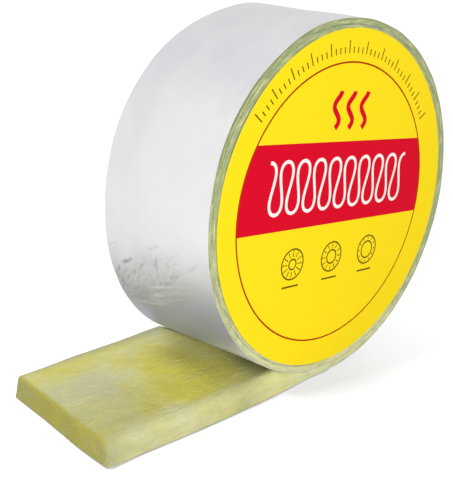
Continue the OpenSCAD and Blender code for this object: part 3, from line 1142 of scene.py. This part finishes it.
class ROLL_OT_label(Operator):
    """Sticks the round label on the end, with its plain print"""

    bl_idname = "insulation_roll.label"
    bl_label = "Label"

    def front(self, places):
        """How far across the strip the paper's face lies, at places beside and above the label's middle."""
        spots = np.concatenate([places, 0 * places[..., :1]], -1).reshape(-1, 3)
        cockle = self.label.cockle * (0.5 + 0.5 * ripple(spots, 0.03, 41))
        return LABEL_LOW.y + cockle.reshape(places.shape[:-1])

    def in_frame(self, places, y):
        return np.stack([AXIS_X + places[..., 0], y, AXIS_Z + places[..., 1]], -1)

    def plate(self, grid, proud, deep, closed=False, filled=False):
        """A thin closed solid over a grid: its face stands proud of the paper and its back lies deep.

        A closed grid runs round, and a filled one has its inner rim closed over.
        """
        n, m = grid.shape[:2]
        face = self.front(grid)
        points = np.concatenate([self.in_frame(grid, face - proud), self.in_frame(grid, face + deep)])
        top = np.arange(n * m).reshape(n, m)
        low = top + n * m
        rims = [top[::-1, 0].tolist(), low[:, 0].tolist()] if filled else []
        if closed:
            top, low = np.vstack([top, top[:1]]), np.vstack([low, low[:1]])
        sides = [(low[:, -1], top[:, -1])]
        if not filled:
            sides.append((top[:, 0], low[:, 0]))
        if not closed:
            sides += [(low[0], top[0]), (top[-1], low[-1])]
        faces = [np.stack([a[:-1], b[:-1], b[1:], a[1:]], 1) for a, b in sides]
        for g, way in ((top, 1), (low, -1)):
            quads = np.stack([g[:-1, :-1], g[1:, :-1], g[1:, 1:], g[:-1, 1:]], -1)
            faces.append(quads[:, :, ::way].reshape(-1, 4))
        return points.reshape(-1, 3), np.concatenate(faces).tolist() + rims

    def ring(self, radius, width, centre=(0, 0), steps=120):
        """A grid round a ring."""
        angles = np.linspace(0, 2 * math.pi, steps, endpoint=False)
        out = np.stack([np.cos(angles), np.sin(angles)], -1)
        return np.array(centre) + out[:, None] * np.array([radius - width / 2, radius + width / 2])[:, None]

    def stroke(self, line, width):
        """A grid along a line of places."""
        line = np.asarray(line, float)
        run = np.gradient(line, axis=0)
        side = np.stack([-run[:, 1], run[:, 0]], 1) / np.linalg.norm(run, axis=1, keepdims=True)
        return line[:, None] + side[:, None] * np.array([-width / 2, width / 2])[:, None]

    def turned(self, grid):
        """A print grid, drawn level about the ring's middle, as it sits on the label."""
        c, s = math.cos(self.label.turn), math.sin(self.label.turn)
        x, z = grid[..., 0], grid[..., 1]
        return np.stack([c * x + s * z - self.label.ring_shift, c * z - s * x - self.label.ring_drop], -1)

    def print_piece(self, name, tint, strokes=(), rings=(), layers=1):
        """One object of all the print of one ink, so many layers of ink high."""
        points, faces, count = [], [], 0
        ink = self.label.ink_height
        for closed, grids in ((False, strokes), (True, rings)):
            for grid in grids:
                p, f = self.plate(self.turned(grid), layers * ink, ink, closed)
                points.append(p)
                faces += [[count + corner for corner in face] for face in f]
                count += len(p)
        obj = new_mesh(name, np.concatenate(points), faces, paper_material(name, tint), smooth=False)
        wear(obj, "label_paper")

    def band(self):
        """The red band, from one side of the ring to the other."""
        label = self.label
        up = np.linspace(-label.band_low, label.band_top, 13)
        reach = np.sqrt((label.ring_radius - label.line_width / 2) ** 2 - up**2)
        share = np.linspace(-1, 1, 49)
        return np.stack([share[:, None] * reach, up + 0 * share[:, None]], -1)

    def loops(self):
        """The looping line that stands for quilted insulation on drawings, along the band."""
        count = 9
        pitch, lean, tall, width = (v * MM for v in (11.8, 2.6, 12.5, 1.7))
        middle = (self.label.band_top - self.label.band_low) / 2
        t = np.linspace(0, 2 * math.pi * count, 40 * count + 1)
        x = pitch * (t / (2 * math.pi) - count / 2) + lean * np.sin(2 * t)
        return self.stroke(np.stack([x, middle + tall * np.cos(t)], 1), width)

    def ticks(self):
        """A measuring scale round the top of the label's rim, with every fourth tick longer."""
        count, first, pitch = 45, 35, 2.5
        low, short, tall, width = (v * MM for v in (75.5, 78.5, 81.5, 0.7))
        marks = []
        for n in range(count):
            turn = math.radians(first + pitch * n)
            out = np.array([math.cos(turn), math.sin(turn)])
            high = short if n % 4 else tall
            marks.append(self.stroke([low * out, (low + high) / 2 * out, high * out], width))
        return marks

    def waves(self):
        """Three upright wavy strokes."""
        apart, low, tall, swing, width = (v * MM for v in (10.5, 39.5, 18, 2.2, 3))
        up = np.linspace(0, 1, 41)
        sway = swing * np.sin(2 * math.pi * 1.25 * up)
        return [self.stroke(np.stack([n * apart + sway, low + tall * up], 1), width) for n in (-1, 0, 1)]

    def pipes(self):
        """Three lagged pipes, cut across: strokes for the wrap and a short rule below, then rings."""
        strokes, rings = [], []
        apart, height, wrap, rule_height, half_rule = 30, -26.5, 7.8, -38, 6
        for n, pipe in ((-1, 2.6), (0, 3.6), (1, 4.6)):
            centre = np.array([n * apart, height]) * MM
            rings += [self.ring(r * MM, 0.8 * MM, centre, 64) for r in (pipe, wrap)]
            for spoke in range(12):
                turn = math.radians(30 * spoke)
                out = np.array([math.cos(turn), math.sin(turn)])
                line = [centre + r * MM * out for r in (pipe + 1.2, wrap - 1.6, wrap - 0.7)]
                strokes.append(self.stroke(line, 0.5 * MM))
            rule = np.array([[n * apart + x, rule_height] for x in (-half_rule, 0, half_rule)]) * MM
            strokes.append(self.stroke(rule, 0.9 * MM))
        return strokes, rings

    def execute(self, context):
        self.label = label = context.scene.roll_label
        thick = LABEL_HIGH.y - LABEL_LOW.y
        radii = LABEL_R * np.linspace(0.012, 1, 26)
        angles = np.linspace(0, 2 * math.pi, 144, endpoint=False)
        disc = np.stack([np.cos(angles), np.sin(angles)], -1)[:, None] * radii[:, None]
        points, faces = self.plate(disc, 0, thick - label.cockle, closed=True, filled=True)
        material = paper_material("label_paper", label.yellow, label.backing)
        paper = new_mesh("label_paper", points, faces, material, smooth=False)
        paint(paper, back=np.arange(len(points)) >= len(points) // 2)
        wear(paper, "label_paper", "label")

        ring = self.ring(label.ring_radius, label.line_width, steps=240)
        spokes, pipes = self.pipes()
        self.print_piece("label_band", label.red, [self.band()])
        self.print_piece("label_ring", label.line, rings=[ring])
        self.print_piece("label_waves", label.red, self.waves())
        self.print_piece("label_ink", label.ink, self.ticks() + spokes, pipes)
        self.print_piece("label_loops", label.white, [self.loops()], layers=2)
        return {"FINISHED"}


# Half the floor's side in metres, and how far from the roll's foot, in millimetres, its whiteness starts
# to rise, rises more slowly, and is full; the lower whiteness near the foot is a painted shadow
FLOOR_HALF = 40.0
GLOW_REACH = (16, 60, 160)


class ROLL_OT_stage(Operator):
    """Sets the pale floor, the soft light and the camera"""

    bl_idname = "insulation_roll.stage"
    bl_label = "Stage"

    def looked_at(self, add, math_node):
        """1 where the camera or a reflection looks, 0 for the light that falls on other things."""
        path = add("ShaderNodeLightPath").outputs
        seen = math_node("MAXIMUM", path["Is Camera Ray"], path["Is Glossy Ray"])
        return math_node("MAXIMUM", seen, path["Is Transmission Ray"])

    def floor(self, stage):
        """A pale floor that the camera and reflections see as white, darkened by the lamp's shadow and by a
        painted shadow at the roll's foot.
        """
        s = Shader("floor", Roughness=0.9, Specular_IOR_Level=0.1)
        looked = self.looked_at(s.add, s.math)
        s.link(s.mix(looked, (stage.floor,) * 3, stage.shown), "Base Color")

        # Painted shadow: its whiteness is lower at the roll's foot and rises away from it, in a long oval
        # across the strip
        shift = {"Vector": s.place, "Location": (15 * MM - FOOT_X, 0, 0), "Scale": (1, 0.25, 1)}
        spot = s.add("ShaderNodeMapping", shift).outputs["Vector"]
        away = s.add("ShaderNodeVectorMath", {0: spot}, operation="LENGTH").outputs["Value"]
        foot, near, far = (d * MM for d in GLOW_REACH)
        close = s.spread(away, foot, near, stage.glow, stage.near_glow)
        wide = s.spread(away, near, far, 0, 1 - stage.near_glow)
        strength = s.times(looked, s.math("ADD", close, wide))
        glow = s.add("ShaderNodeEmission", {"Color": (1, 1, 1, 1), "Strength": strength})
        both = s.add("ShaderNodeAddShader", {0: s.surface.outputs[0], 1: glow.outputs[0]})
        s.tree.links.new(both.outputs[0], s.tree.nodes["Material Output"].inputs["Surface"])
        corners = [(x * FLOOR_HALF, y * FLOOR_HALF, 0) for x, y in ((-1, -1), (1, -1), (1, 1), (-1, 1))]
        obj = new_mesh("floor", corners, [(0, 1, 2, 3)], s.material, smooth=False)
        return obj

    def world(self, stage):
        """Even light, with a white background where the camera or a reflection looks."""
        world = bpy.data.worlds.new("studio")
        bpy.context.scene.world = world
        world.use_nodes = True
        nodes, links = world.node_tree.nodes, world.node_tree.links

        def math_node(operation, a, b):
            node = nodes.new("ShaderNodeMath")
            node.operation = operation
            links.new(a, node.inputs[0])
            links.new(b, node.inputs[1])
            return node.outputs[0]

        strength = nodes.new("ShaderNodeMapRange")
        strength.inputs["To Min"].default_value = stage.sky
        strength.inputs["To Max"].default_value = 1.0
        links.new(self.looked_at(nodes.new, math_node), strength.inputs["Value"])
        background = nodes["Background"]
        background.inputs["Color"].default_value = (1, 1, 1, 1)
        links.new(strength.outputs[0], background.inputs["Strength"])

    def lamp(self, name, place, size, power, floor=None, state="INCLUDE"):
        """A square lamp aimed at the roll, which may light the floor only, or all but the floor."""
        data = bpy.data.lights.new(name, "AREA")
        data.energy, data.size = power, size
        obj = bpy.data.objects.new(name, data)
        obj.location = place
        aim = Vector((0, 0, ROLL_R)) - Vector(place)
        obj.rotation_euler = aim.to_track_quat("-Z", "Y").to_euler()
        if floor:
            lit = bpy.data.collections.new(name)
            lit.objects.link(floor)
            lit.collection_objects[0].light_linking.link_state = state
            obj.light_linking.receiver_collection = lit
            obj.visible_glossy = False
        bpy.context.scene.collection.objects.link(obj)

    def camera(self, stage):
        """The camera at the photograph's angle: its axes are right, up and back."""
        az, el, lean = stage.azimuth, stage.elevation, stage.lean
        back = Vector((math.sin(az) * math.cos(el), -math.cos(az) * math.cos(el), math.sin(el)))
        right = Vector((math.cos(az), math.sin(az), 0))
        up = back.cross(right)
        axes = (
            math.cos(lean) * right + math.sin(lean) * up,
            math.cos(lean) * up - math.sin(lean) * right,
            back,
        )
        data = bpy.data.cameras.new("camera")
        data.sensor_width, data.lens, data.clip_start = 36, stage.lens, 0.01
        obj = bpy.data.objects.new("camera", data)
        place = Vector(stage.camera_place) + Vector((FOOT_X, MID_Y, 0))
        obj.matrix_world = Matrix.Translation(place) @ Matrix(axes).transposed().to_4x4()
        bpy.context.scene.collection.objects.link(obj)
        bpy.context.scene.camera = obj

    def execute(self, context):
        stage = context.scene.roll_stage
        floor = self.floor(stage)
        self.world(stage)
        self.lamp("key", stage.key_place, stage.key_size, stage.key)
        self.lamp("rear", stage.rear_place, stage.rear_size, stage.rear, floor)
        self.lamp("fill", stage.fill_place, stage.fill_size, stage.fill, floor, "EXCLUDE")
        self.camera(stage)
        context.scene.view_settings.view_transform = "Standard"
        return {"FINISHED"}


class ROLL_PT_sidebar(Panel):
    """Lists the pieces of the roll"""

    bl_idname = "ROLL_PT_sidebar"
    bl_label = "Insulation Roll"
    bl_space_type = "VIEW_3D"
    bl_region_type = "UI"
    bl_category = "Insulation Roll"

    def draw(self, context):
        for operator in OPERATORS:
            self.layout.operator(operator.bl_idname)
        for name in SETTINGS:
            settings = getattr(context.scene, name)
            box = self.layout.box()
            for key in settings.__annotations__:
                box.prop(settings, key)


SETTINGS = {
    "roll_strip": StripSettings,
    "roll_wool": WoolSettings,
    "roll_foil": FoilSettings,
    "roll_label": LabelSettings,
    "roll_stage": StageSettings,
}
OPERATORS = (ROLL_OT_wool, ROLL_OT_fibres, ROLL_OT_foil, ROLL_OT_label, ROLL_OT_stage)


def register():
    for cls in (*SETTINGS.values(), *OPERATORS, ROLL_PT_sidebar):
        bpy.utils.register_class(cls)
    for name, cls in SETTINGS.items():
        setattr(bpy.types.Scene, name, PointerProperty(type=cls))


def unregister():
    for name in SETTINGS:
        delattr(bpy.types.Scene, name)
    for cls in (ROLL_PT_sidebar, *reversed(OPERATORS), *reversed(SETTINGS.values())):
        bpy.utils.unregister_class(cls)


def main():
    register()
    bpy.ops.insulation_roll.stage()
    bpy.ops.insulation_roll.wool()
    bpy.ops.insulation_roll.fibres()
    bpy.ops.insulation_roll.foil()
    bpy.ops.insulation_roll.label()


if __name__ == "__main__":
    main()
